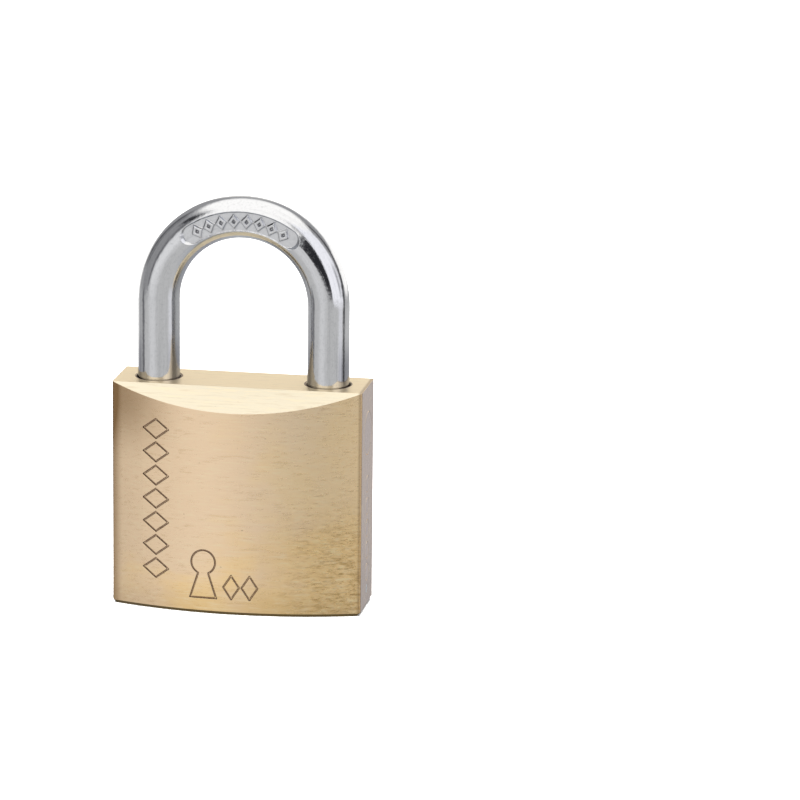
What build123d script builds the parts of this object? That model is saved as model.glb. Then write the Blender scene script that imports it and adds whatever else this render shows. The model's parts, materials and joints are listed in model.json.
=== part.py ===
from build123d import *
import math
import os

# A 30 mm solid-brass padlock with a hardened, chromed steel shackle, locked by two bolts
# that a five-pin cylinder draws in.  Sizes are millimetres.
#
# Frame: the origin is the middle of the flat underside.  +Z runs up through the shackle,
# +X to the toe leg (the short one), -X to the heel leg (the long one), and -Y is the
# engraved front.
#
# Every piece is drawn where it stands with the shackle pushed down and the key turned:
# the plug stands KEY_TURN past the angle at which the key goes in, so both bolts are drawn
# in.  Turned back by KEY_TURN, the plug lets the bolts out into the notches of the legs.

# ---- Body -------------------------------------------------------------------------
BODY_WIDTH = 30.0
BODY_HEIGHT = 27.1
SIDE_THICKNESS = 7.8  # across the two flat narrow sides
MIDDLE_THICKNESS = 13.0  # across the crowned front and back
BEVEL_ANGLE = 45.0  # of the bright facet at the top of the front and back, from level
CORNER_ROUND = 0.3  # of the four upright edges
FOOT_CHAMFER = (0.2, 0.34)  # across and up, all round the underside
FOOT_CORNER = (0.45, 0.5)  # across and up, cut from the two lower corners of the front

# ---- Shackle ----------------------------------------------------------------------
SHACKLE_DIAMETER = 5.0
STRAIGHT_ABOVE_BODY = 9.45  # of each leg, below the half-round bow
HOLE_CLEARANCE = 0.15  # round a leg
HOLE_SPREAD = 0.1  # how much further apart the holes are than the legs
END_ROOM = 0.25  # past the toe leg's end, a bolt's tail and the stop pin's slot
SIDE_WALL = 2.1  # of brass, between a shackle hole and the narrow side
MOUTH_CHAMFER = 0.05
SHACKLE_LIFT = 10.6
LEG_END_CHAMFER = 0.6

# ---- Panel pressed into the front of the bow, with a row of raised lozenges ----------
PANEL_MIDDLE = 90.0  # degrees round the bow, from the toe leg
PANEL_SPAN = 82.0
PANEL_INSET = 0.15  # of its middle line, inside the bar's
PANEL_WIDTH = 2.1
PANEL_DEPTH = 0.45
PANEL_WALL_DRAFT = 40.0  # slope of its walls, in degrees
PANEL_MARKS = 8
PANEL_MARK_SIZE = (1.6, 1.9)  # along the bow and across it
PANEL_MARK_HEIGHT = 0.3
PANEL_MARK_DRAFT = 30.0  # slope of its sides, in degrees
PANEL_MARK_CREST = 0.2

# ---- Bolts ------------------------------------------------------------------------
BOLT_DIAMETER = 5.0
BOLT_CLEARANCE = 0.1
BOLT_BELOW_TOP = 5.7  # the bolts' axis, below the top of the body
BOLT_FLAT = 1.6  # the milled underside, below the bolts' axis
BOLT_REACH = 0.95  # into a leg
BOLT_TRAVEL = 1.35
NOTCH_CLEARANCE = 0.1  # past a bolt's tip
NOTCH_ROOM = 0.2  # above and below a bolt
TOE_LIP = 1.9  # of steel below the notch of the toe leg
NOSE_BEVEL = 0.8
TAIL_GAP = 0.05  # from the middle plane to each bolt's tail
TAIL_END_WALL = 0.7

# ---- Heel of the shackle ------------------------------------------------------------
NECK_ROOM = 0.35  # above and below a bolt, with the shackle up
HEEL_FOOT = 1.6  # the collar left below the neck
STOP_PIN_DIAMETER = 1.2
STOP_CLEARANCE = 0.05

# ---- Cylinder ----------------------------------------------------------------------
KEY_TURN = 90.0
PLUG_DIAMETER = 8.0
PLUG_CLEARANCE = 0.05
PLUG_RECESS = 0.15  # of the plug's face, above the underside
PLUG_MOUTH_CHAMFER = 0.25
CAM_THICKNESS = 1.2
CAM_RIM_GAP = 0.4  # between the cam's rim and the plug's
CAM_CLEARANCE = 0.1  # under the bolts
LUG_DIAMETER = 0.9
LUG_CLEARANCE = 0.08  # each side, in a bolt's slot
LUG_HEADROOM = 0.15
TONGUE_WIDTH = 1.5
TONGUE_DEPTH = 1.0
TONGUE_CLEARANCE = 0.03
KEYWAY_OUTLINE = (  # towards the pins, across the blade; at the key's own angle
    (-2.8, -0.45), (-1.5, -0.45), (-1.1, -0.95), (-0.1, -0.95), (0.3, -0.35), (2.7, -0.35),
    (2.7, 0.55), (0.9, 0.55), (0.5, 1.0), (-0.5, 1.0), (-0.9, 0.5), (-2.8, 0.5),
)

# ---- Pins --------------------------------------------------------------------------
KEY_PIN_LENGTHS = (3.4, 2.6, 4.0, 3.0, 2.4)
PIN_ROW_START = 4.4  # the lowest pin's axis, above the underside
CHAMBER_DIAMETER = 2.1
CHAMBER_WALL = 0.6  # of brass, between two chambers
PIN_CLEARANCE = 0.05
KEY_PIN_POINT = 0.65  # length of the cone at the key end
CHAMBER_FLOOR = -1.0  # where a key pin stops falling, past the plug's axis
FLUSH_GAP = 0.03  # a key pin's head, inside the plug's surface
DRIVER_LENGTH = 3.0
CAP_LENGTH = 1.4
CAP_CLEARANCE = 0.01
EDGE_BREAK = 0.06  # on turned pieces
RETAINER_DIAMETER = 1.2
RETAINER_HEIGHT = 2.3
RETAINER_BITE = 0.5
GROOVE_CLEARANCE = 0.05

# ---- Springs (the closed sleeve that each coil fills) -------------------------------
HEEL_SPRING_DIAMETER = 4.4
HEEL_SPRING_WIRE = 0.45
HEEL_SPRING_SEAT = 1.6  # floor of the heel hole
BOLT_SPRING_DIAMETER = 1.7
BOLT_SPRING_WIRE = 0.22
BOLT_SPRING_RISE = 1.0  # of the spring's axis, above the bolts'
DRIVER_SPRING_WIRE = 0.2
SPRING_CLEARANCE = 0.1  # round a spring
SPRING_END_GAP = 0.02

# ---- Engraved ornament: a column of lozenges, a keyhole, and two small lozenges ------
LINE_WIDTH = 0.24
LINE_DEPTH = 0.16
COLUMN_FROM_SIDE = 5.6  # its middle line, from the left side
COLUMN_WIDTH = 3.1
COLUMN_FOOT = 3.6
COLUMN_HEAD = 3.7  # below the top of the body
COLUMN_MARKS = 7
KEYHOLE_FROM_SIDE = 11.5
KEYHOLE_FOOT = 1.9
KEYHOLE_BOW = 2.9  # diameter of its round part
KEYHOLE_HEIGHT = 5.8
KEYHOLE_SKIRT = (1.3, 3.2)  # width where it leaves the round part, and at its foot
SMALL_MARKS_FROM_SIDE = (14.9, 17.1)
SMALL_MARK = (1.9, 2.9)

# ---- Worked out from the sizes above -------------------------------------------------
LEG_RADIUS = SHACKLE_DIAMETER / 2
HOLE_RADIUS = LEG_RADIUS + HOLE_CLEARANCE
HOLE_X = BODY_WIDTH / 2 - SIDE_WALL - HOLE_RADIUS
LEG_X = HOLE_X - HOLE_SPREAD / 2
BOW_Z = BODY_HEIGHT + STRAIGHT_ABOVE_BODY

BOLT_RADIUS = BOLT_DIAMETER / 2
BOLT_Z = BODY_HEIGHT - BOLT_BELOW_TOP
BOLT_LOW = BOLT_Z - BOLT_FLAT
BOLT_HIGH = BOLT_Z + BOLT_RADIUS
BORE_RADIUS = BOLT_RADIUS + BOLT_CLEARANCE
LEG_INNER_X = LEG_X - LEG_RADIUS
TIP_IN = LEG_INNER_X + BOLT_REACH - BOLT_TRAVEL
NOTCH_DEPTH = BOLT_REACH + NOTCH_CLEARANCE
NECK_RADIUS = LEG_RADIUS - NOTCH_DEPTH
TOE_END = BOLT_LOW - NOTCH_ROOM - TOE_LIP
TOE_HOLE_FLOOR = TOE_END - END_ROOM

NECK_LOW = BOLT_LOW - NECK_ROOM - SHACKLE_LIFT
NECK_HIGH = BOLT_HIGH + NECK_ROOM - SHACKLE_LIFT
HEEL_END = NECK_LOW - HEEL_FOOT
STOP_PIN_Z = NECK_LOW + SHACKLE_LIFT + STOP_CLEARANCE + STOP_PIN_DIAMETER / 2

PLUG_RADIUS = PLUG_DIAMETER / 2
PLUG_BORE_RADIUS = PLUG_RADIUS + PLUG_CLEARANCE
CAM_TOP = BOLT_LOW - CAM_CLEARANCE
PLUG_TOP = CAM_TOP - CAM_THICKNESS
LUG_CIRCLE = BOLT_TRAVEL / 2 / math.sin(math.radians(KEY_TURN / 2))
LUG_REACH_Y = LUG_CIRCLE + LUG_DIAMETER / 2
SLOT_HALF = LUG_DIAMETER / 2 + LUG_CLEARANCE
TAIL_END = -BOLT_TRAVEL / 2 - SLOT_HALF - TAIL_END_WALL
SHOULDER_IN = -TAIL_END + END_ROOM

PIN_PITCH = CHAMBER_DIAMETER + CHAMBER_WALL
CHAMBER_RADIUS = CHAMBER_DIAMETER / 2
PIN_RADIUS = CHAMBER_RADIUS - PIN_CLEARANCE
PIN_HEIGHTS = [PIN_ROW_START + n * PIN_PITCH for n in range(len(KEY_PIN_LENGTHS))]
DRIVER_INNER = PLUG_BORE_RADIUS
DRIVER_OUTER = DRIVER_INNER + DRIVER_LENGTH
CAP_INNER = BODY_WIDTH / 2 - CAP_LENGTH
RETAINER_TIP = PLUG_RADIUS - RETAINER_BITE
BORE_CAP_INNER = HOLE_X + HOLE_RADIUS + CAP_CLEARANCE


def rod(radius, start, end):
    """A round bar from one point to another."""
    start, end = Vector(*start), Vector(*end)
    plane = Plane(origin=start, z_dir=end - start)
    return extrude(plane * Circle(radius), (end - start).length)


def block(low, high):
    """A box between its lowest and highest corners."""
    size = [b - a for a, b in zip(low, high)]
    return Pos(*low) * Box(*size, align=(Align.MIN, Align.MIN, Align.MIN))


def sleeve(radius, wire, start, end):
    """The hollow cylinder that a coil spring of that wire fills."""
    return rod(radius, start, end) - rod(radius - wire, start, end)


def outlined(face, width):
    """The line of that width along a face's outline."""
    return offset(face, width / 2) - offset(face, -width / 2)


def lozenge(width, height):
    return Polygon((-width / 2, 0), (0, -height / 2), (width / 2, 0), (0, height / 2))


# ---- Body -------------------------------------------------------------------------
def plan(inset=0.0):
    """The body seen from above: flat narrow sides, crowned front and back."""
    x, y, crown = BODY_WIDTH / 2, SIDE_THICKNESS / 2, MIDDLE_THICKNESS / 2
    outline = [
        ThreePointArc((-x, -y), (0, -crown), (x, -y)),
        Line((x, -y), (x, y)),
        ThreePointArc((x, y), (0, crown), (-x, y)),
        Line((-x, y), (-x, -y)),
    ]
    face = make_face(outline)
    if inset:
        return offset(face, -inset)
    return fillet(face.vertices(), CORNER_ROUND)


def front_outline():
    """The body seen from the front, with its two lower corners cut off."""
    x, (across, up) = BODY_WIDTH / 2, FOOT_CORNER
    return Polygon(
        (-x, up), (-x + across, 0), (x - across, 0), (x, up), (x, BODY_HEIGHT), (-x, BODY_HEIGHT),
        align=None,
    )


def foot_cutter():
    """What the chamfer takes off all round the underside."""
    across, up = FOOT_CHAMFER
    flare = extrude(plan(across), up, taper=-math.degrees(math.atan2(across, up)))
    return block((-BODY_WIDTH, -MIDDLE_THICKNESS, 0), (BODY_WIDTH, MIDDLE_THICKNESS, up)) - flare


def bevel_cutter():
    """What the bright facet takes off the front: all that lies above a sloping plane through the
    line between the two front corners of the top."""
    reach = MIDDLE_THICKNESS
    drop = reach * math.tan(math.radians(BEVEL_ANGLE))
    edge = (-SIDE_THICKNESS / 2, BODY_HEIGHT)
    side = Polygon(
        edge, (edge[0] - reach, edge[1] - drop), (edge[0] - reach, edge[1] + reach),
        (edge[0], edge[1] + reach), align=None,
    )
    return extrude(Plane.YZ * side, BODY_WIDTH, both=True)


def keyhole():
    """A keyhole's outline: a round part on a skirt that widens downwards."""
    bow = Pos(0, KEYHOLE_HEIGHT - KEYHOLE_BOW / 2) * Circle(KEYHOLE_BOW / 2)
    top, foot = KEYHOLE_SKIRT
    skirt = Polygon(
        (-foot / 2, 0), (foot / 2, 0), (top / 2, KEYHOLE_HEIGHT - KEYHOLE_BOW),
        (top / 2, KEYHOLE_HEIGHT - KEYHOLE_BOW / 2), (-top / 2, KEYHOLE_HEIGHT - KEYHOLE_BOW / 2),
        (-top / 2, KEYHOLE_HEIGHT - KEYHOLE_BOW), align=None,
    )
    return bow + skirt


def ornament():
    """The engraved lines of the front, cut to one depth below its crowned face."""
    left = -BODY_WIDTH / 2
    pitch = (BODY_HEIGHT - COLUMN_HEAD - COLUMN_FOOT) / COLUMN_MARKS
    mark = lozenge(COLUMN_WIDTH, pitch - 2 * LINE_WIDTH)
    lines = [
        Pos(left + COLUMN_FROM_SIDE, COLUMN_FOOT + (n + 0.5) * pitch) * outlined(mark, LINE_WIDTH)
        for n in range(COLUMN_MARKS)
    ]
    lines.append(Pos(left + KEYHOLE_FROM_SIDE, KEYHOLE_FOOT) * outlined(keyhole(), LINE_WIDTH))
    small = outlined(lozenge(*SMALL_MARK), LINE_WIDTH)
    lines += [
        Pos(left + x, KEYHOLE_FOOT + SMALL_MARK[1] / 2) * small for x in SMALL_MARKS_FROM_SIDE
    ]
    cutters = [extrude(Plane.XZ * line, MIDDLE_THICKNESS) for line in lines]
    core = extrude(plan(LINE_DEPTH), BODY_HEIGHT)
    return [cutter - core for cutter in cutters]


def lock_body():
    blank = extrude(plan(), BODY_HEIGHT) & extrude(
        Plane.XZ * front_outline(), MIDDLE_THICKNESS, both=True
    )
    blank -= foot_cutter()
    front = bevel_cutter()
    blank -= front + mirror(front, Plane.XZ)

    blank -= rod(HOLE_RADIUS, (HOLE_X, 0, TOE_HOLE_FLOOR), (HOLE_X, 0, BODY_HEIGHT))
    blank -= rod(HOLE_RADIUS, (-HOLE_X, 0, HEEL_SPRING_SEAT), (-HOLE_X, 0, BODY_HEIGHT))
    mouth = Cone(HOLE_RADIUS, HOLE_RADIUS + MOUTH_CHAMFER, MOUTH_CHAMFER)
    for x in (HOLE_X, -HOLE_X):
        blank -= Pos(x, 0, BODY_HEIGHT - MOUTH_CHAMFER / 2) * mouth
    blank -= rod(BORE_RADIUS, (-HOLE_X, 0, BOLT_Z), (BODY_WIDTH / 2, 0, BOLT_Z))
    blank -= rod(PLUG_BORE_RADIUS, (0, 0, 0), (0, 0, CAM_TOP + PLUG_CLEARANCE))
    blank -= Pos(0, 0, PLUG_MOUTH_CHAMFER / 2) * Cone(
        PLUG_BORE_RADIUS + PLUG_MOUTH_CHAMFER, PLUG_BORE_RADIUS, PLUG_MOUTH_CHAMFER
    )
    for z in PIN_HEIGHTS:
        blank -= rod(CHAMBER_RADIUS, (0, 0, z), (BODY_WIDTH / 2, 0, z))
    retainer_hole = RETAINER_DIAMETER / 2 + CAP_CLEARANCE
    blank -= rod(retainer_hole, (0, 0, RETAINER_HEIGHT), (BODY_WIDTH / 2, 0, RETAINER_HEIGHT))
    stop_hole = STOP_PIN_DIAMETER / 2 + CAP_CLEARANCE
    blank -= rod(stop_hole, (-HOLE_X, 0, STOP_PIN_Z), (-BODY_WIDTH / 2, 0, STOP_PIN_Z))
    for line in ornament():
        blank -= line
    return blank


# ---- Shackle ----------------------------------------------------------------------
def bow():
    section = Pos(LEG_X, 0, BOW_Z) * Circle(LEG_RADIUS)
    return revolve(section, Axis((0, 0, BOW_Z), (0, 1, 0)), -180)


def panel():
    """The curved panel's outline, and the place of each raised lozenge in it."""
    radius = LEG_X - PANEL_INSET
    ends = math.degrees(PANEL_WIDTH / 2 / radius)
    length = PANEL_SPAN - 2 * ends
    spine = CenterArc((0, BOW_Z), radius, PANEL_MIDDLE - length / 2, length)
    step = length / PANEL_MARKS
    first = PANEL_MIDDLE - 90 - (PANEL_MARKS - 1) / 2 * step
    places = [
        Pos(0, BOW_Z) * Rot(0, 0, first + n * step) * Pos(0, radius) for n in range(PANEL_MARKS)
    ]
    return SlotArc(spine, PANEL_WIDTH), places


def panel_mark():
    """A raised lozenge ring with sloping sides, standing on z = 0."""
    inset = PANEL_MARK_HEIGHT * math.tan(math.radians(PANEL_MARK_DRAFT))
    foot = lozenge(*PANEL_MARK_SIZE)
    raised = extrude(foot, PANEL_MARK_HEIGHT, taper=PANEL_MARK_DRAFT)
    mouth = Pos(0, 0, PANEL_MARK_HEIGHT) * offset(foot, -inset - PANEL_MARK_CREST)
    return raised - extrude(mouth, -PANEL_MARK_HEIGHT, taper=PANEL_MARK_DRAFT)


def shackle():
    toe = rod(LEG_RADIUS, (LEG_X, 0, TOE_END), (LEG_X, 0, BOW_Z))
    heel = rod(LEG_RADIUS, (-LEG_X, 0, HEEL_END), (-LEG_X, 0, BOW_Z))
    toe = chamfer(toe.faces().sort_by(Axis.Z)[0].edges(), LEG_END_CHAMFER)
    heel = chamfer(heel.faces().sort_by(Axis.Z)[0].edges(), LEG_END_CHAMFER / 2)

    notch_low, notch_high = BOLT_LOW - NOTCH_ROOM, BOLT_HIGH + NOTCH_ROOM
    floor = LEG_INNER_X + NOTCH_DEPTH
    toe -= block((0, -LEG_RADIUS, notch_low), (floor, LEG_RADIUS, notch_high))
    heel -= block((-floor, -LEG_RADIUS, notch_low), (0, LEG_RADIUS, notch_high))
    neck = rod(LEG_RADIUS, (-LEG_X, 0, NECK_LOW), (-LEG_X, 0, NECK_HIGH))
    heel -= neck - rod(NECK_RADIUS, (-LEG_X, 0, NECK_LOW), (-LEG_X, 0, NECK_HIGH))
    slot_half = STOP_PIN_DIAMETER / 2 + END_ROOM
    heel -= block(
        (-LEG_X - LEG_RADIUS, -slot_half, NECK_LOW),
        (-LEG_X - NECK_RADIUS, slot_half, STOP_PIN_Z + slot_half),
    )

    whole = toe + bow() + heel
    outline, places = panel()
    floor = Plane.XZ.offset(LEG_RADIUS - PANEL_DEPTH)
    whole -= extrude(floor * outline, LEG_RADIUS, taper=-PANEL_WALL_DRAFT)
    for place in places:
        whole += floor * place * panel_mark()
    return whole


def heel_stop_pin():
    tip = -LEG_X - NECK_RADIUS - NOTCH_CLEARANCE
    pin = rod(STOP_PIN_DIAMETER / 2, (tip, 0, STOP_PIN_Z), (-BODY_WIDTH / 2, 0, STOP_PIN_Z))
    return chamfer(pin.edges(), EDGE_BREAK)


# ---- Bolts ------------------------------------------------------------------------
def toe_bolt():
    """A round bolt with a flat underside, whose half-round tail lies behind the middle plane and
    takes the cam's lug in a slot."""
    bolt = rod(BOLT_RADIUS, (TAIL_END, 0, BOLT_Z), (TIP_IN, 0, BOLT_Z))
    bolt -= block(
        (TAIL_END, -BOLT_RADIUS, BOLT_Z - BOLT_RADIUS), (TIP_IN, BOLT_RADIUS, BOLT_LOW)
    )
    bolt -= block(
        (TAIL_END, -BOLT_RADIUS, BOLT_LOW), (SHOULDER_IN, TAIL_GAP, BOLT_HIGH)
    )
    lug_x = -BOLT_TRAVEL / 2
    lug_top = CAM_TOP + lug_height() + LUG_HEADROOM
    bolt -= block(
        (lug_x - SLOT_HALF, 0, BOLT_LOW), (lug_x + SLOT_HALF, LUG_REACH_Y + LUG_CLEARANCE, lug_top)
    )
    bolt -= rod(
        BOLT_SPRING_DIAMETER / 2 + SPRING_CLEARANCE,
        (TAIL_END, 0, BOLT_Z + BOLT_SPRING_RISE), (SHOULDER_IN, 0, BOLT_Z + BOLT_SPRING_RISE),
    )
    nose = Polygon((TIP_IN - NOSE_BEVEL, BOLT_HIGH), (TIP_IN, BOLT_HIGH),
                   (TIP_IN, BOLT_HIGH - NOSE_BEVEL), align=None)
    return bolt - extrude(Plane.XZ * nose, BOLT_RADIUS, both=True)


def heel_bolt():
    return Rot(0, 0, 180) * toe_bolt()


def bore_cap():
    """The brass disc that closes the bolts' bore in the toe side."""
    cap = rod(
        BORE_RADIUS - CAP_CLEARANCE, (BORE_CAP_INNER, 0, BOLT_Z), (BODY_WIDTH / 2, 0, BOLT_Z)
    )
    cap = chamfer(cap.edges().group_by(Axis.X)[-1], EDGE_BREAK)
    return cap - rod(HOLE_RADIUS + CAP_CLEARANCE, (HOLE_X, 0, 0), (HOLE_X, 0, BODY_HEIGHT))


# ---- Cylinder ----------------------------------------------------------------------
def as_turned(piece):
    """Takes a piece drawn at the key's own angle round to where it stands with the key turned."""
    return Rot(0, 0, KEY_TURN) * piece


def plug():
    core = rod(PLUG_RADIUS, (0, 0, PLUG_RECESS), (0, 0, PLUG_TOP))
    core = chamfer(core.edges(), EDGE_BREAK)
    core -= extrude(Polygon(*KEYWAY_OUTLINE, align=None), PLUG_TOP)
    for z in PIN_HEIGHTS:
        core -= rod(CHAMBER_RADIUS, (CHAMBER_FLOOR, 0, z), (PLUG_RADIUS, 0, z))
    half = RETAINER_DIAMETER / 2 + GROOVE_CLEARANCE
    low, high = (0, 0, RETAINER_HEIGHT - half), (0, 0, RETAINER_HEIGHT + half)
    core -= rod(PLUG_RADIUS, low, high) - rod(RETAINER_TIP - GROOVE_CLEARANCE, low, high)
    half = TONGUE_WIDTH / 2 + TONGUE_CLEARANCE
    core -= block(
        (-half, -PLUG_RADIUS, PLUG_TOP - TONGUE_DEPTH - TONGUE_CLEARANCE),
        (half, PLUG_RADIUS, PLUG_TOP),
    )
    return as_turned(core)


def lug_height():
    """How far the cam's lugs stand up into the bolts: to just under the bolts' spring."""
    spring_low = BOLT_Z + BOLT_SPRING_RISE - BOLT_SPRING_DIAMETER / 2 - SPRING_CLEARANCE
    return spring_low - LUG_HEADROOM - CAM_CLEARANCE - CAM_TOP


def cam():
    """The steel driver on the plug's inner end: a disc with two lugs and a tongue in the plug."""
    radius = PLUG_RADIUS - CAM_RIM_GAP
    disc = rod(radius, (0, 0, PLUG_TOP), (0, 0, CAM_TOP))
    tongue = block(
        (-TONGUE_WIDTH / 2, -PLUG_RADIUS, PLUG_TOP - TONGUE_DEPTH),
        (TONGUE_WIDTH / 2, PLUG_RADIUS, PLUG_TOP),
    )
    disc += tongue & rod(radius, (0, 0, 0), (0, 0, CAM_TOP))
    for way in (1, -1):
        x = y = way * BOLT_TRAVEL / 2
        disc += rod(LUG_DIAMETER / 2, (x, y, CAM_TOP), (x, y, CAM_TOP + lug_height()))
    return as_turned(disc)


def plug_retaining_pin():
    pin = rod(
        RETAINER_DIAMETER / 2, (RETAINER_TIP, 0, RETAINER_HEIGHT),
        (BODY_WIDTH / 2, 0, RETAINER_HEIGHT),
    )
    return chamfer(pin.edges(), EDGE_BREAK)


# ---- Pin stacks -----------------------------------------------------------------------
def key_pin(length, z):
    """A brass pin in the plug: a cone to ride on the key, and a head flush with the plug."""
    tip = PLUG_RADIUS - FLUSH_GAP - length
    body = rod(PIN_RADIUS, (tip + KEY_PIN_POINT, 0, z), (PLUG_RADIUS, 0, z))
    point = Cone(PIN_RADIUS - KEY_PIN_POINT, PIN_RADIUS, KEY_PIN_POINT)
    body += Pos(tip + KEY_PIN_POINT / 2, 0, z) * Rot(0, 90, 0) * point
    return as_turned(body & rod(PLUG_RADIUS - FLUSH_GAP, (0, 0, 0), (0, 0, PLUG_TOP)))


def driver_pin(z):
    pin = rod(PIN_RADIUS, (DRIVER_INNER, 0, z), (DRIVER_OUTER, 0, z))
    return chamfer(pin.edges(), 2 * EDGE_BREAK)


def driver_spring(z):
    return sleeve(
        CHAMBER_RADIUS - SPRING_CLEARANCE, DRIVER_SPRING_WIRE,
        (DRIVER_OUTER + SPRING_END_GAP, 0, z), (CAP_INNER - SPRING_END_GAP, 0, z),
    )


def chamber_cap(z):
    cap = rod(CHAMBER_RADIUS - CAP_CLEARANCE, (CAP_INNER, 0, z), (BODY_WIDTH / 2, 0, z))
    return chamfer(cap.edges().group_by(Axis.X)[-1], EDGE_BREAK)


# ---- Other springs ----------------------------------------------------------------------
def heel_spring():
    return sleeve(
        HEEL_SPRING_DIAMETER / 2, HEEL_SPRING_WIRE,
        (-HOLE_X, 0, HEEL_SPRING_SEAT + SPRING_END_GAP), (-HOLE_X, 0, HEEL_END - SPRING_END_GAP),
    )


def bolt_spring():
    z, end = BOLT_Z + BOLT_SPRING_RISE, SHOULDER_IN - SPRING_END_GAP
    return sleeve(BOLT_SPRING_DIAMETER / 2, BOLT_SPRING_WIRE, (-end, 0, z), (end, 0, z))


def pieces():
    """Every piece of the padlock by name."""
    found = {
        "lock_body": lock_body(),
        "shackle": shackle(),
        "heel_stop_pin": heel_stop_pin(),
        "heel_spring": heel_spring(),
        "toe_bolt": toe_bolt(),
        "heel_bolt": heel_bolt(),
        "bolt_spring": bolt_spring(),
        "bolt_bore_cap": bore_cap(),
        "plug": plug(),
        "cam": cam(),
        "plug_retaining_pin": plug_retaining_pin(),
    }
    for n, (length, z) in enumerate(zip(KEY_PIN_LENGTHS, PIN_HEIGHTS), 1):
        found[f"key_pin_{n}"] = key_pin(length, z)
        found[f"driver_pin_{n}"] = driver_pin(z)
        found[f"driver_spring_{n}"] = driver_spring(z)
        found[f"chamber_cap_{n}"] = chamber_cap(z)
    return found


os.makedirs("parts", exist_ok=True)
for name, piece in pieces().items():
    export_step(piece, f"parts/{name}.step")
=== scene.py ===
import json
import math

import bpy
from mathutils import Matrix, Vector


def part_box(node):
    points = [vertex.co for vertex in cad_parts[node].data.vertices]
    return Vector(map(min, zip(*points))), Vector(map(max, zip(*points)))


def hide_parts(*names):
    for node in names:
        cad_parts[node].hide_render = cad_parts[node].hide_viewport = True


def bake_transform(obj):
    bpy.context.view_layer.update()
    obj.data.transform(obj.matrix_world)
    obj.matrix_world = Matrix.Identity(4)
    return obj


# The looks of a small brass padlock.  Lengths are in metres, and MM is one millimetre.
# +X is towards the shackle's short leg, the toe, -X towards its heel leg, -Y out of the engraved
# front, and +Z up.
MM = 0.001
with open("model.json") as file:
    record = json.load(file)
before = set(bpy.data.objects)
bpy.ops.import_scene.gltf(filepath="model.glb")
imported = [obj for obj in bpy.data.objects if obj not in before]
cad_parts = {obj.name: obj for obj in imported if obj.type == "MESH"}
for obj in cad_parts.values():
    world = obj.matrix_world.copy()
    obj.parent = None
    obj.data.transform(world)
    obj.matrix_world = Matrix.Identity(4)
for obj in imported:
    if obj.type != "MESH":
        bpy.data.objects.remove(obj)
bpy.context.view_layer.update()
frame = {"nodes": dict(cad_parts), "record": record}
nodes = frame["nodes"]

body_low, body_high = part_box("lock_body")
shackle_low, shackle_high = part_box("shackle")
leg_radius = (shackle_high.y - shackle_low.y) / 2 / MM
toe_x = shackle_high.x / MM - leg_radius  # of the toe leg's axis, in millimetres
bow_z = shackle_high.z / MM - leg_radius - toe_x  # where the half-round bow starts


# ---- Node helpers ---------------------------------------------------------------------
class Graph:
    """A node tree and the few ways in which this script adds to it."""

    def __init__(self, tree):
        self.tree = tree

    def add(self, kind, **settings):
        node = self.tree.nodes.new(kind)
        for name, value in settings.items():
            setattr(node, name, value)
        return node

    def put(self, socket, value):
        """Links a socket to a value that is a socket, or sets it to one that isn't."""
        if isinstance(value, bpy.types.NodeSocket):
            self.tree.links.new(value, socket)
        else:
            socket.default_value = value

    def math(self, operation, *values):
        node = self.add("ShaderNodeMath", operation=operation)
        for socket, value in zip(node.inputs, values):
            self.put(socket, value)
        return node.outputs[0]

    def times(self, first, *others):
        for other in others:
            first = self.math("MULTIPLY", first, other)
        return first

    def plus(self, first, *others):
        for other in others:
            first = self.math("ADD", first, other)
        return first

    def less(self, a, b):
        return self.math("SUBTRACT", a, b)

    def rest_of(self, share):
        return self.less(1.0, share)

    def distance(self, a, b):
        """The length of a vector with those two parts."""
        return self.math("POWER", self.plus(self.times(a, a), self.times(b, b)), 0.5)

    def swing(self, noise, size):
        """A noise about 0.5 made into one about 0, and that many times as strong."""
        return self.times(self.less(noise, 0.5), size)

    def step(self, value, low, high):
        """0 where the value is on the low side, 1 where it is on the high side, smooth between.
        Low may be the greater of the two, and then the slope is the other way."""
        node = self.add("ShaderNodeMapRange", interpolation_type="SMOOTHSTEP")
        for socket, given in zip(node.inputs, (value, low, high, 0.0, 1.0)):
            self.put(socket, given)
        return node.outputs[0]

    def within(self, value, limits, soft):
        """1 between the limits, 0 outside them, with edges that are soft to either side."""
        low, high = limits
        above = self.step(value, low - soft, low + soft)
        return self.times(above, self.step(value, high + soft, high - soft))

    def scaled(self, vector, scale, shift=(0.0, 0.0, 0.0)):
        node = self.add("ShaderNodeMapping")
        self.put(node.inputs["Vector"], vector)
        self.put(node.inputs["Scale"], scale)
        self.put(node.inputs["Location"], shift)
        return node.outputs[0]

    def noise(self, vector, detail=3.0, roughness=0.55, distortion=0.0):
        """Noise with features about one unit of the vector across."""
        node = self.add("ShaderNodeTexNoise")
        self.put(node.inputs["Vector"], vector)
        self.put(node.inputs["Scale"], 1.0)
        self.put(node.inputs["Detail"], detail)
        self.put(node.inputs["Roughness"], roughness)
        self.put(node.inputs["Distortion"], distortion)
        return node.outputs["Fac"]

    def mixed(self, share, a, b):
        node = self.add("ShaderNodeMix", data_type="RGBA")
        self.put(node.inputs[0], share)
        for socket, colour in zip((node.inputs[6], node.inputs[7]), (a, b)):
            self.put(socket, colour if isinstance(colour, bpy.types.NodeSocket) else (*colour, 1.0))
        return node.outputs[2]

    def tinted(self, colour, tint, strength, *masks):
        """The colour taken towards the tint, by the strength where every mask is 1."""
        return self.mixed(self.times(strength, *masks), colour, tint)

    def joined(self, x, y, z):
        node = self.add("ShaderNodeCombineXYZ")
        for socket, value in zip(node.inputs, (x, y, z)):
            self.put(socket, value)
        return node.outputs[0]

    def parts(self, vector):
        node = self.add("ShaderNodeSeparateXYZ")
        self.put(node.inputs[0], vector)
        return node.outputs


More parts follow.
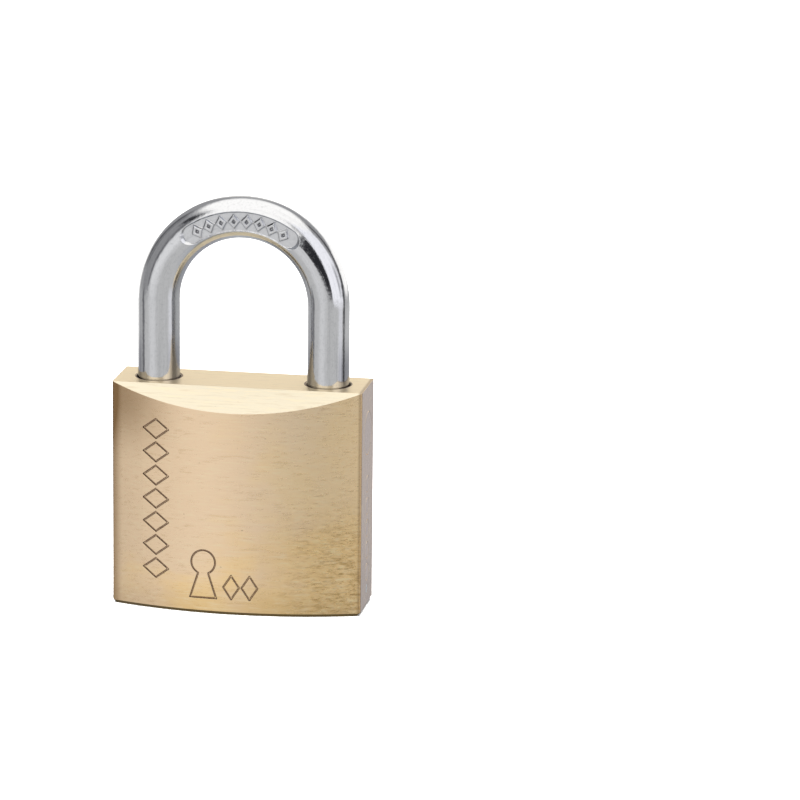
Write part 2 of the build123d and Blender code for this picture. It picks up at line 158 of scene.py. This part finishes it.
class Metal(Graph):
    """A metal, with the frame's coordinates in millimetres and the face's direction at hand."""

    def __init__(self, name):
        self.material = bpy.data.materials.new(name)
        self.material.use_nodes = True
        super().__init__(self.material.node_tree)
        self.shader = self.tree.nodes["Principled BSDF"]
        self.shader.inputs["Metallic"].default_value = 1.0
        where = self.add("ShaderNodeTexCoord").outputs["Object"]
        self.mm = self.scaled(where, (1 / MM,) * 3)
        self.x, self.y, self.z = self.parts(self.mm)
        self.normal = self.add("ShaderNodeNewGeometry").outputs["True Normal"]
        self.nx, self.ny, self.nz = self.parts(self.normal)
        self.across = self.math("ABSOLUTE", self.nx)  # 1 on faces that look along X, either way

    def pattern(self, per_mm, shift=(0.0, 0.0, 0.0), **settings):
        """Noise with about that many features in each millimetre along X, Y and Z.  The shift
        keeps patterns of one metal apart."""
        return self.noise(self.scaled(self.mm, per_mm, shift), **settings)

    def colour(self, value):
        self.put(self.shader.inputs["Base Color"], value)

    def roughen(self, value):
        self.put(self.shader.inputs["Roughness"], value)

    def relief(self, height, depth_mm, edge_mm):
        """Bumps that deep, on a surface whose edges look rounded by edge_mm."""
        bump = self.add("ShaderNodeBump")
        self.put(bump.inputs["Height"], height)
        bump.inputs["Strength"].default_value = 1.0
        bump.inputs["Distance"].default_value = depth_mm * MM
        self.put(bump.inputs["Normal"], self.rounded(edge_mm))
        self.put(self.shader.inputs["Normal"], bump.outputs[0])

    def rounded(self, edge_mm):
        soft = self.add("ShaderNodeBevel", samples=6)
        soft.inputs["Radius"].default_value = edge_mm * MM
        return soft.outputs[0]

    def edges(self, edge_mm):
        """1 along sharp edges, 0 elsewhere."""
        node = self.add("ShaderNodeVectorMath", operation="DOT_PRODUCT")
        self.put(node.inputs[0], self.rounded(edge_mm))
        self.put(node.inputs[1], self.normal)
        return self.step(node.outputs["Value"], 0.995, 0.9)

    def hollows(self, reach_mm, full=0.45):
        """1 in grooves and corners, where openness is down to full, and 0 on open faces."""
        node = self.add("ShaderNodeAmbientOcclusion", samples=8, only_local=True)
        node.inputs["Distance"].default_value = reach_mm * MM
        return self.step(node.outputs["AO"], 0.95, full)


# ---- Brass ----------------------------------------------------------------------------
# In the steps below, limits on x and z are in millimetres, and those on nx, ny and nz are parts
# of the face's direction.
BRASS_TAN = (0.945, 0.715, 0.48)
BRASS_OLIVE = (0.99, 0.705, 0.35)
BRASS_GOLD = (1.0, 0.80, 0.53)
# painted glints on the ripples low on the toe side
BRASS_PAINTED_GLINT = (1.0, 0.86, 0.52)
BRASS_PALE = (0.98, 0.82, 0.55)
BRASS_CREAM = (0.78, 0.71, 0.555)
BRASS_SIDE_PAINTED_SHADE = (0.42, 0.36, 0.385)  # painted shade on the narrow sides, which turns them grey
# painted shade, deeper, for the narrow sides low down
BRASS_SIDE_PAINTED_SHADE_LOW = (0.30, 0.24, 0.23)
BRASS_STAIN = (0.38, 0.235, 0.075)
BRASS_SHADE = (0.30, 0.18, 0.085)
BRASS_DARK = (0.10, 0.048, 0.022)  # in grooves and pits
# painted shade on the foot chamfer, which mirrors the shadow under the lock
FOOT_PAINTED_SHADE = (0.10, 0.07, 0.025)
# painted shade round the rims of the shackle holes, where the legs go in
RIM_PAINTED_SHADE = (0.12, 0.05, 0.02)
POLISHED_HEIGHT = 27.0  # millimetres, over which the polish of the front fades downwards
RIM_WIDTH = (0.30, 0.40)  # millimetres past a leg's own radius: full, and gone
SIDE_FACING = (0.8, 0.95)  # how far along X a face looks: a crowned face, a narrow side


class BodyBrass(Metal):
    """Brass brushed along X on the crowned faces and upright on the narrow sides, with milled
    facets at the top, olive ripples low on the toe side, and dark lines in the grooves."""

    def __init__(self):
        super().__init__("brushed_brass")
        self.side = self.step(self.across, *SIDE_FACING)
        self.facet = self.step(self.nz, 0.3, 0.6)
        self.front = self.rest_of(self.math("MAXIMUM", self.side, self.facet))  # and the back
        self.calm = self.rest_of(self.times(self.side, 0.7))  # the sides are less brushed
        self.low_corner = self.times(
            self.step(self.x, 2.0, 14.5), self.step(self.z, 21.0, 4.0), self.front
        )
        self.strokes = self.brushing()
        self.streaks = self.pattern((0.10, 0.9, 1.0), (5.0, 2.0, 1.0))
        self.ripple = self.pattern(
            (0.62, 1.6, 3.0), (4.0, 0.0, 9.0), detail=4.0, roughness=0.72, distortion=0.5
        )
        self.pitted = self.pits()
        self.hollow = self.hollows(reach_mm=0.22, full=0.65)
        colour = self.stained(self.polish())
        colour = self.shaded(self.brushed(self.milled(colour)))
        self.colour(self.painted_edge_highlight(self.darkened(colour)))
        self.surface()

    def brushing(self):
        """Strokes along X, and upright ones on the narrow sides."""
        long_strokes = self.pattern((0.27, 3.2, 3.8), detail=4.0, roughness=0.62)
        fine_strokes = self.pattern((0.6, 8.0, 8.0), (9.0, 2.0, 4.0), detail=2.0, roughness=0.6)
        level = self.plus(self.times(long_strokes, 0.75), self.times(fine_strokes, 0.25))
        upright = self.pattern((6.0, 5.0, 0.8), (3.1, 0.0, 1.7))
        return self.plus(
            self.times(level, self.rest_of(self.side)), self.times(upright, self.side)
        )

    def pits(self):
        """A few small pits, in some places only."""
        pits = self.pattern((1.9, 5.0, 5.0), (11.0, 3.0, 8.0), detail=1.0)
        places = self.pattern((0.3, 0.3, 0.3), (0.0, 9.0, 4.0), detail=1.0)
        return self.times(self.step(pits, 0.76, 0.82), self.step(places, 0.45, 0.62))

    def polish(self):
        """Tan, and olive where the polish has run low, towards the toe side and the foot."""
        clouds = self.pattern((0.13, 0.13, 0.11), (1.5, 7.0, 2.2), detail=2.0)
        low = self.rest_of(self.times(self.z, 1 / POLISHED_HEIGHT))
        run = self.plus(self.times(self.x, 0.032), self.times(low, low, 0.66))
        run = self.plus(run, self.swing(clouds, 1.3), self.swing(self.streaks, 0.5))
        return self.mixed(self.step(run, 0.10, 0.72), BRASS_TAN, BRASS_OLIVE)

    def stained(self, colour):
        """Ripples in the low corner, with dark bands that are partly stain and partly painted shade
        and bright bands that are painted glints, gold above them, and darker brass along the foot.
        """
        dark, bright = self.step(self.ripple, 0.46, 0.66), self.step(self.ripple, 0.48, 0.34)
        # the ripples' dark bands are partly stain and partly painted shade, their bright bands
        # painted glints
        colour = self.tinted(colour, BRASS_STAIN, 0.62, dark, self.low_corner)
        colour = self.tinted(colour, BRASS_PAINTED_GLINT, 0.6, bright, self.low_corner)
        above = self.times(self.step(self.x, 0.0, 8.0), self.step(self.z, 8.0, 16.0))
        colour = self.tinted(colour, BRASS_GOLD, 0.5, above, self.front)
        return self.tinted(colour, BRASS_STAIN, 0.2, self.step(self.z, 4.0, 0.5), self.front)

    def milled(self, colour):
        """The top and its bevels, cream in front and pale elsewhere, and painted grey shade on the
        narrow sides, deeper low down.
        """
        pale = self.math("MAXIMUM", self.step(self.nz, 0.8, 0.9), self.step(self.ny, -0.2, 0.2))
        colour = self.mixed(self.facet, colour, self.mixed(pale, BRASS_CREAM, BRASS_PALE))
        # painted shade: the narrow sides grey, and darker towards the bottom
        colour = self.tinted(colour, BRASS_SIDE_PAINTED_SHADE, 0.8, self.side)
        return self.tinted(colour, BRASS_SIDE_PAINTED_SHADE_LOW, 0.45, self.side, self.step(self.z, 12.0, 0.0))

    def brushed(self, colour):
        """Dark and bright strokes, and wider pale streaks."""
        dark, bright = self.step(self.strokes, 0.48, 0.36), self.step(self.strokes, 0.52, 0.64)
        colour = self.tinted(colour, BRASS_STAIN, 0.20, dark, self.calm)
        colour = self.tinted(colour, BRASS_PALE, 0.40, bright, self.calm)
        return self.tinted(colour, BRASS_PALE, 0.18, self.step(self.streaks, 0.52, 0.72))

    def shaded(self, colour):
        """Darker towards the heel side, most at its edge and its upper corner, and along the
        edge of the toe side."""
        heel_edge = self.step(self.x, -13.6, -15.0)
        heel_top = self.times(self.step(self.x, -5.0, -14.0), self.step(self.z, 17.0, 25.5))
        heel_half = self.step(self.x, -2.0, -10.0)
        heel = self.plus(
            self.times(heel_edge, 0.62), self.times(heel_top, 0.62), self.times(heel_half, 0.09)
        )
        toe_edge = self.times(self.step(self.x, 14.45, 14.8), self.step(self.across, 0.98, 0.8))
        shade = self.plus(self.times(heel, self.front), self.times(toe_edge, 0.55))
        return self.mixed(shade, colour, BRASS_SHADE)

    def darkened(self, colour):
        """Dark pits and grooves, and painted shade on the foot chamfer, which mirrors the shadow
        under the lock, and round the rims of the two shackle holes.
        """
        colour = self.tinted(colour, BRASS_DARK, 0.5, self.pitted)
        # painted shade on the foot chamfer
        chamfer_shade = self.times(self.step(self.nz, -0.25, -0.4), self.step(self.nz, -0.97, -0.9))
        colour = self.tinted(colour, FOOT_PAINTED_SHADE, 0.92, chamfer_shade)
        full, gone = (leg_radius + width for width in RIM_WIDTH)
        # painted shade round each shackle hole's rim
        for leg_x in (toe_x, -toe_x):
            radius = self.distance(self.less(self.x, leg_x), self.y)
            rim_shade = self.times(self.step(radius, gone, full), self.step(self.nz, 0.8, 0.95))
            colour = self.tinted(colour, RIM_PAINTED_SHADE, 0.9, rim_shade)
        return self.tinted(colour, BRASS_DARK, 0.97, self.hollow)

    def painted_edge_highlight(self, colour):
        """Paler along the edges, a painted highlight, but not in the grooves."""
        edges = self.times(self.edges(edge_mm=0.08), self.rest_of(self.hollow))
        # painted highlight along the edges
        return self.tinted(colour, BRASS_PALE, 0.25, edges)

    def surface(self):
        """Roughness, bumps, and grooves whose dirt is hardly metal."""
        rough = self.plus(0.30, self.swing(self.strokes, 0.35))
        self.roughen(self.plus(rough, self.times(self.hollow, 0.5), self.times(self.facet, 0.13)))
        self.put(self.shader.inputs["Metallic"], self.rest_of(self.times(self.hollow, 0.85)))
        brushing = self.plus(self.times(self.strokes, 1.6), self.times(self.streaks, 1.6))
        height = self.plus(
            self.times(brushing, self.calm), self.times(self.ripple, self.low_corner, 6.0)
        )
        height = self.less(height, self.times(self.pitted, 2.0))
        self.relief(height, depth_mm=0.008, edge_mm=0.06)


def small_brass(name, strokes=None, shade=1.0, roughness=0.28):
    """Brass of the small pieces, with that many strokes in each millimetre along X, Y and Z, or
    turned about Z where none are given.  Ends flush with a narrow side get the same painted shade."""
    m = Metal(name)
    if strokes:
        marks = m.pattern(strokes, detail=3.0, roughness=0.6)
    else:
        rings = m.joined(m.times(m.distance(m.x, m.y), 9.0), 0.0, m.times(m.z, 6.0))
        marks = m.noise(rings, detail=3.0, roughness=0.6)
    tone = m.pattern((0.4, 0.4, 0.4), detail=2.0)
    olive, tan = (tuple(c * shade for c in brass) for brass in (BRASS_OLIVE, BRASS_TAN))
    colour = m.mixed(m.step(tone, 0.35, 0.65), olive, tan)
    # painted grey shade on ends flush with a narrow side
    colour = m.tinted(colour, BRASS_SIDE_PAINTED_SHADE, 0.8, m.step(m.across, *SIDE_FACING))
    colour = m.tinted(colour, BRASS_STAIN, 0.35, m.step(marks, 0.48, 0.30))
    # darker in grooves and corners: painted shade
    colour = m.tinted(colour, BRASS_DARK, 0.6, m.hollows(reach_mm=0.3))
    # pale edges: a painted highlight
    m.colour(m.tinted(colour, BRASS_PALE, 0.4, m.edges(edge_mm=0.06)))
    m.roughen(m.plus(roughness, m.swing(marks, 0.2)))
    m.relief(marks, depth_mm=0.006, edge_mm=0.05)
    return m.material


# ---- Chrome and steel -------------------------------------------------------------------
CHROME = (0.67, 0.675, 0.685)
CHROME_DULL = (0.45, 0.455, 0.47)
CHROME_INNER = (0.46, 0.47, 0.49)  # on the inner side of the bow and the legs
CHROME_UNDER_SHADE = (0.54, 0.565, 0.61)  # painted shade on faces that look down, under the bow
CHROME_FOOT_SHADE = (0.24, 0.245, 0.28)  # painted shade on the legs' sides, low down by the body
# painted shade in the shackle's grooves and round its raised marks
CHROME_GROOVE_SHADE = (0.14, 0.14, 0.15)
# a painted highlight along the edges
CHROME_EDGE_HIGHLIGHT = (0.95, 0.95, 0.96)
INNER_DEPTH = (1.75, 2.3)  # millimetres inside the bar's middle line: where it starts, is full
FOOT_HEIGHT = (6.5, 2.0)  # millimetres above the body: where it starts, is full
STEEL_FILM = (0.42, 0.36, 0.26)  # dried oil


def chrome():
    """Polished chrome over a drawn and bent bar: streaks along the bar, fine grain, a few scuffs,
    and a duller inner side."""
    m = Metal("chrome")
    # how far a point lies from the middle of the bow, or from the middle plane on a leg
    rise = m.math("MAXIMUM", m.less(m.z, bow_z), 0.0)
    spread = m.distance(m.x, rise)
    along = m.times(m.plus(m.x, m.z), 0.16)
    bar = m.joined(m.times(spread, 2.6), m.times(m.y, 2.6), along)
    streaks = m.noise(bar, detail=4.0, roughness=0.6)
    waves = m.pattern((0.30, 0.30, 0.12), detail=2.0, roughness=0.5)
    dents = m.pattern((1.4, 1.4, 1.1), (5.0, 2.0, 8.0), detail=3.0, roughness=0.6)
    grain = m.pattern((3.8, 3.8, 2.6), (2.0, 5.0, 1.0), detail=4.0, roughness=0.65)
    scuffs = m.pattern((1.1, 1.1, 4.0), (7.0, 1.0, 3.0), detail=3.0, roughness=0.7)
    scuffed = m.step(scuffs, 0.60, 0.76)
    inner = m.step(spread, *(toe_x - depth for depth in INNER_DEPTH))
    low = m.step(m.less(m.z, body_high.z / MM), *FOOT_HEIGHT)

    colour = m.tinted(CHROME, CHROME_DULL, 0.22, m.step(grain, 0.52, 0.34))
    colour = m.tinted(colour, CHROME_DULL, 0.22, m.step(streaks, 0.50, 0.34))
    colour = m.tinted(colour, CHROME_DULL, 0.3, scuffed)
    colour = m.tinted(colour, CHROME_INNER, 0.85, inner)
    # painted shade on the legs' sides, low down by the body
    colour = m.tinted(colour, CHROME_FOOT_SHADE, 0.75, low, m.step(m.across, 0.5, 0.85))
    # painted shade on faces that look down
    colour = m.tinted(colour, CHROME_UNDER_SHADE, 0.9, m.step(m.nz, -0.2, -0.5))
    # painted shade in grooves and corners
    colour = m.tinted(colour, CHROME_GROOVE_SHADE, 0.75, m.hollows(reach_mm=0.30))
    # pale edges: a painted highlight
    m.colour(m.tinted(colour, CHROME_EDGE_HIGHLIGHT, 0.7, m.edges(edge_mm=0.10)))
    m.roughen(m.plus(0.055, m.times(grain, 0.07), m.times(scuffed, 0.08), m.times(inner, 0.16)))
    height = m.plus(m.times(waves, 3.0), m.times(streaks, 1.6), m.times(dents, 1.6))
    m.relief(m.plus(height, m.times(grain, 0.5)), depth_mm=0.008, edge_mm=0.10)
    return m.material


def steel(name, base, roughness, strokes):
    """Ground or drawn steel of the pieces inside, with that many strokes in each millimetre
    along X, Y and Z."""
    m = Metal(name)
    marks = m.pattern(strokes, detail=4.0, roughness=0.6)
    film = m.pattern((0.5, 0.5, 0.5), (3.0, 3.0, 3.0), detail=2.0)
    dull, bright = (tuple(c * by for c in base) for by in (0.5, 1.35))
    colour = m.tinted(base, dull, 0.5, m.step(marks, 0.5, 0.3))
    colour = m.tinted(colour, STEEL_FILM, 0.25, m.step(film, 0.5, 0.7))
    # pale edges: a painted highlight
    m.colour(m.tinted(colour, bright, 0.5, m.edges(edge_mm=0.06)))
    m.roughen(m.plus(roughness, m.swing(marks, 0.25)))
    m.relief(marks, depth_mm=0.006, edge_mm=0.05)
    return m.material


BODY_BRASS = BodyBrass().material
PLUG_BRASS = small_brass("turned_plug_brass", shade=0.95)
CAP_BRASS = small_brass("cap_brass", strokes=(7.0, 6.0, 0.45), shade=0.92)
PIN_BRASS = small_brass("pin_brass", strokes=(6.0, 1.0, 1.0), shade=1.05, roughness=0.2)
CHROMED = chrome()
BOLT_STEEL = steel("ground_steel", (0.50, 0.51, 0.53), roughness=0.28, strokes=(0.6, 6.0, 6.0))
SPRING_WIRE = steel("spring_wire", (0.40, 0.41, 0.43), roughness=0.22, strokes=(3.0, 3.0, 3.0))
FINISH = {
    "body_brass": BODY_BRASS,
    "shackle_chrome": CHROMED,
    "plug_brass": PLUG_BRASS,
    "cap_brass": CAP_BRASS,
    "pin_brass": PIN_BRASS,
    "bright_steel": BOLT_STEEL,
    "spring_steel": SPRING_WIRE,
}


def dress(piece, material):
    piece.data.materials.clear()
    piece.data.materials.append(material)


for part in frame["record"]["subparts"]:
    dress(nodes[part["node"]], FINISH[part["material_slot"]])


# ---- Coil springs -----------------------------------------------------------------------
AROUND_WIRE = 8  # points round the wire
PER_TURN = 28  # points along each turn
CLOSED_TURNS = 1.0  # at each end, laid against the next turn
HEEL_WIRE, HEEL_TURNS = 0.45 * MM, 4.5
BOLT_WIRE, BOLT_TURNS = 0.22 * MM, 3.0
DRIVER_WIRE, DRIVER_TURNS = 0.2 * MM, 13.0


def coil_line(radius, wire, length, turns):
    """Points along a compression spring that stands on z = 0, with closed ends."""
    points = []
    total = turns + 2 * CLOSED_TURNS
    rise = length - wire - 2 * CLOSED_TURNS * wire
    for n in range(int(total * PER_TURN) + 1):
        t = n / PER_TURN
        low = min(t, CLOSED_TURNS) * wire
        high = max(t - CLOSED_TURNS - turns, 0.0) * wire
        middle = min(max(t - CLOSED_TURNS, 0.0), turns) / turns * rise
        angle = 2 * math.pi * t
        z = wire / 2 + low + middle + high
        points.append(Vector((radius * math.cos(angle), radius * math.sin(angle), z)))
    return points


def coil(name, outer_radius, wire, start, end, turns):
    """A coil spring of round wire between two points, as a closed tube."""
    start, end = Vector(start), Vector(end)
    line = coil_line(outer_radius - wire / 2, wire, (end - start).length, turns)
    turned = (end - start).to_track_quat("Z", "Y").to_matrix().to_4x4()
    place = Matrix.Translation(start) @ turned
    vertices, faces = [], []
    for n, point in enumerate(line):
        ahead = line[min(n + 1, len(line) - 1)] - line[max(n - 1, 0)]
        outward = Vector((point.x, point.y, 0)).normalized()
        across = ahead.cross(outward).normalized()
        for k in range(AROUND_WIRE):
            angle = 2 * math.pi * k / AROUND_WIRE
            ring = outward * math.cos(angle) + across * math.sin(angle)
            vertices.append(place @ (point + ring * wire / 2))
    for n in range(len(line) - 1):
        a, b = n * AROUND_WIRE, (n + 1) * AROUND_WIRE
        for k in range(AROUND_WIRE):
            after = (k + 1) % AROUND_WIRE
            faces.append((a + k, a + after, b + after, b + k))
    last = (len(line) - 1) * AROUND_WIRE
    faces.append(tuple(range(AROUND_WIRE))[::-1])
    faces.append(tuple(range(last, last + AROUND_WIRE)))
    mesh = bpy.data.meshes.new(name)
    mesh.from_pydata([tuple(v) for v in vertices], [], faces)
    mesh.shade_smooth()
    mesh.update()
    piece = bpy.data.objects.new(name, mesh)
    bpy.context.scene.collection.objects.link(piece)
    dress(piece, SPRING_WIRE)
    return piece


def room_of(node):
    """The node's box and its middle."""
    low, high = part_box(node)
    return low, high, (low + high) / 2


low, high, centre = room_of("heel_spring")
foot, head = (centre.x, centre.y, low.z), (centre.x, centre.y, high.z)
heel_coil = coil("heel_coil", (high.x - low.x) / 2, HEEL_WIRE, foot, head, HEEL_TURNS)
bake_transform(heel_coil)
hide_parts("heel_spring")

# the bolts' one sleeve is two coils that meet in the middle, one towards each bolt
low, high, centre = room_of("bolt_spring")
for bolt, end_x in (("toe_bolt", high.x), ("heel_bolt", low.x)):
    end = (end_x, centre.y, centre.z)
    half = coil(f"{bolt}_coil", (high.z - low.z) / 2, BOLT_WIRE, centre, end, BOLT_TURNS)
    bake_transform(half)
    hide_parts("bolt_spring")

for n in range(1, 6):
    node = f"driver_spring_{n}"
    low, high, centre = room_of(node)
    outer, inner = (high.x, centre.y, centre.z), (low.x, centre.y, centre.z)
    radius = (high.z - low.z) / 2
    driver_coil = coil(f"driver_coil_{n}", radius, DRIVER_WIRE, outer, inner, DRIVER_TURNS)
    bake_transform(driver_coil)
    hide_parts(node)


# ---- Stage: floor, surroundings and a soft box --------------------------------------------
FLOOR_REACH = 3.0  # metres, each way
FLOOR_GAP = 0.02 * MM  # under the lock


def plain_floor():
    mesh = bpy.data.meshes.new("floor")
    signs = ((-1, -1), (1, -1), (1, 1), (-1, 1))
    corners = [(x * FLOOR_REACH, y * FLOOR_REACH, 0) for x, y in signs]
    mesh.from_pydata(corners, [], [(0, 1, 2, 3)])
    floor = bpy.data.objects.new("floor", mesh)
    bpy.context.scene.collection.objects.link(floor)
    floor.location.z = body_low.z - FLOOR_GAP
    floor.visible_glossy = False  # the metals reflect the surroundings' own lower half instead
    pale = bpy.data.materials.new("pale_floor")
    pale.use_nodes = True
    shader = pale.node_tree.nodes["Principled BSDF"]
    shader.inputs["Base Color"].default_value = (0.93, 0.93, 0.93, 1.0)
    shader.inputs["Roughness"].default_value = 0.9
    shader.inputs["Specular IOR Level"].default_value = 0.0
    dress(floor, pale)


# What the metals mirror, by direction in degrees.  The azimuth is 0 straight out of the lock's
# front and 90 towards +X; the height is above the horizon.  Each patch lies over those before
# it: its azimuths, its heights, how soft its edges are, how far its azimuths lean to the right
# for each degree of height, and its colour.
TABLE = (0.67, 0.67, 0.67)
WALL = (0.45, 0.45, 0.46)
WHITE = (1.45, 1.43, 1.40)
COOL_WHITE = (1.26, 1.26, 1.32)
BLACK = (0.03, 0.03, 0.035)
PLAIN_WHITE = (1.0, 1.0, 1.0)
HORIZON = (-13.0, -5.0)  # heights over which the table gives way to the wall
CEILING = (44.0, 56.0)  # heights over which the wall gives way to a white ceiling
PATCHES = (
    ((92, 128), (-95, -26), 12, 0.0, (0.26, 0.26, 0.27)),  # shaded parts of the table
    ((-140, -112), (-95, -22), 12, 0.0, (0.26, 0.26, 0.27)),
    ((135, 185), (-95, -20), 8, 0.0, (0.50, 0.50, 0.52)),
    ((-42, -6), (-34, -8), 12, 0.0, (0.86, 0.86, 0.87)),  # its far parts, light and dark
    ((66, 91), (-24, -8), 7, 0.0, (0.92, 0.92, 0.96)),
    ((95, 110), (-26, -2), 4, 0.0, (0.12, 0.12, 0.12)),
    ((-90, -74), (-24, -4), 5, 0.0, (0.20, 0.20, 0.21)),
    ((-128, -96), (-24, -8), 9, 0.0, (0.48, 0.48, 0.49)),
    ((177, 185), (-24, -6), 3, 0.0, (1.20, 1.20, 1.20)),
    ((-185, -148), (-24, -6), 8, 0.0, (1.20, 1.20, 1.20)),
    ((-160, -128), (12, 44), 7, 0.0, (0.40, 0.40, 0.41)),  # behind the lock, on the heel side
    ((-185, -160), (30, 44), 7, 0.0, (0.50, 0.50, 0.50)),
    ((-185, -160), (-4, 26), 7, 0.0, (1.05, 1.03, 1.00)),
    ((-122, -108), (4, 42), 7, 0.0, (0.10, 0.10, 0.11)),  # straight out on the heel side
    ((-104, -96), (4, 42), 3, 0.0, (0.20, 0.20, 0.21)),
    ((-93, -64), (-7, 42), 5, 0.0, (0.36, 0.36, 0.37)),
    ((-62, -53), (-7, 34), 4, 0.0, (0.18, 0.18, 0.19)),
    ((-76, -46), (34, 44), 4, 0.0, BLACK),
    ((-185, -124), (-12, 4), 5, 0.0, WHITE),  # a bright strip, low behind the lock
    ((-48, 8), (-10, 60), 5, 0.0, (0.98, 0.98, 0.99)),  # in front
    ((-44, 30), (26, 60), 6, 0.0, WHITE),
    ((36, 96), (-9, 54), 3, 0.0, COOL_WHITE),  # a window on the toe side
    ((77, 90), (-4, 18), 6, 0.0, (0.55, 0.55, 0.58)),
    ((118, 185), (-6, 22), 4, 0.0, WHITE),  # behind, on the toe side
    ((135, 165), (27, 46), 5, 0.0, (0.40, 0.40, 0.41)),
    ((98, 110), (-4, 50), 6, 0.5, (0.04, 0.04, 0.045)),  # the window's frame
)
# A black flag in front, over all the patches.  Its left side leans to the right by FLAG_LEAN
# degrees for each degree of height.
FLAG_LEFT = (-4.0, 2.0)  # azimuths at the horizon over which it starts
FLAG_LEAN = 1.0
FLAG_RIGHT = (37.0, 31.0)  # azimuths over which it ends, the outer one first
FLAG_HEIGHTS = (-7, 36)
FLAG_SOFT = 3


def surroundings():
    """The studio that the metals mirror.  The camera itself sees plain white."""
    world = bpy.data.worlds.new("studio")
    bpy.context.scene.world = world
    world.use_nodes = True
    g = Graph(world.node_tree)
    background = world.node_tree.nodes["Background"]
    x, y, z = g.parts(g.add("ShaderNodeTexCoord").outputs["Generated"])
    azimuth = g.times(g.math("ARCTAN2", x, g.times(y, -1.0)), 180 / math.pi)
    height = g.times(g.math("ARCSINE", z), 180 / math.pi)

    colour = g.mixed(g.step(height, *HORIZON), TABLE, WALL)
    for azimuths, heights, soft, lean, tint in PATCHES:
        leant = g.less(azimuth, g.times(height, lean)) if lean else azimuth
        patch = g.times(g.within(leant, azimuths, soft), g.within(height, heights, soft))
        colour = g.mixed(patch, colour, tint)
    left = g.step(g.less(azimuth, g.times(height, FLAG_LEAN)), *FLAG_LEFT)
    right = g.step(azimuth, *FLAG_RIGHT)
    flag = g.times(left, right, g.within(height, FLAG_HEIGHTS, FLAG_SOFT))
    colour = g.mixed(flag, colour, BLACK)
    colour = g.mixed(g.step(height, *CEILING), colour, WHITE)
    seen = g.add("ShaderNodeLightPath").outputs["Is Camera Ray"]
    g.put(background.inputs["Color"], g.mixed(seen, colour, PLAIN_WHITE))


def soft_box(name, location, size, watts):
    """An area light aimed at the middle of the body, which the metals don't mirror."""
    data = bpy.data.lights.new(name, "AREA")
    data.shape = "RECTANGLE"
    data.size, data.size_y = size
    data.energy = watts
    light = bpy.data.objects.new(name, data)
    light.location = location
    aim = Vector((0, 0, body_high.z / 2)) - Vector(location)
    light.rotation_mode = "QUATERNION"
    light.rotation_quaternion = aim.to_track_quat("-Z", "Y")
    light.visible_glossy = False
    bpy.context.scene.collection.objects.link(light)


# ---- Camera ---------------------------------------------------------------------------
AIM = Vector((0, 0, 25 * MM))
CAMERA_AZIMUTH, CAMERA_ELEVATION = 11.50, 13.75  # degrees, the azimuth from -Y towards +X
CAMERA_DISTANCE = 583.5 * MM
LENS, SENSOR = 221.8, 36.0  # millimetres
PAN, TILT, ROLL = -1.820, -0.031, 0.166  # degrees; the pan leaves the lock left of centre


def photographers_camera():
    data = bpy.data.cameras.new("camera")
    data.sensor_width = SENSOR
    data.lens = LENS
    data.clip_start = 0.01
    camera = bpy.data.objects.new("camera", data)
    a, e = math.radians(CAMERA_AZIMUTH), math.radians(CAMERA_ELEVATION)
    back = Vector((math.sin(a) * math.cos(e), -math.cos(a) * math.cos(e), math.sin(e)))
    facing = (-back).to_track_quat("-Z", "Y").to_matrix()
    turns = (
        Matrix.Rotation(math.radians(PAN), 3, "Y")
        @ Matrix.Rotation(math.radians(TILT), 3, "X")
        @ Matrix.Rotation(math.radians(ROLL), 3, "Z")
    )
    camera.matrix_world = Matrix.Translation(AIM + back * CAMERA_DISTANCE) @ (
        (facing @ turns).to_4x4()
    )
    bpy.context.scene.collection.objects.link(camera)
    bpy.context.scene.camera = camera


plain_floor()
surroundings()
soft_box("overhead", location=(0.0, -0.05, 0.7), size=(0.7, 0.6), watts=14.0)
photographers_camera()
bpy.context.scene.view_settings.view_transform = "Standard"
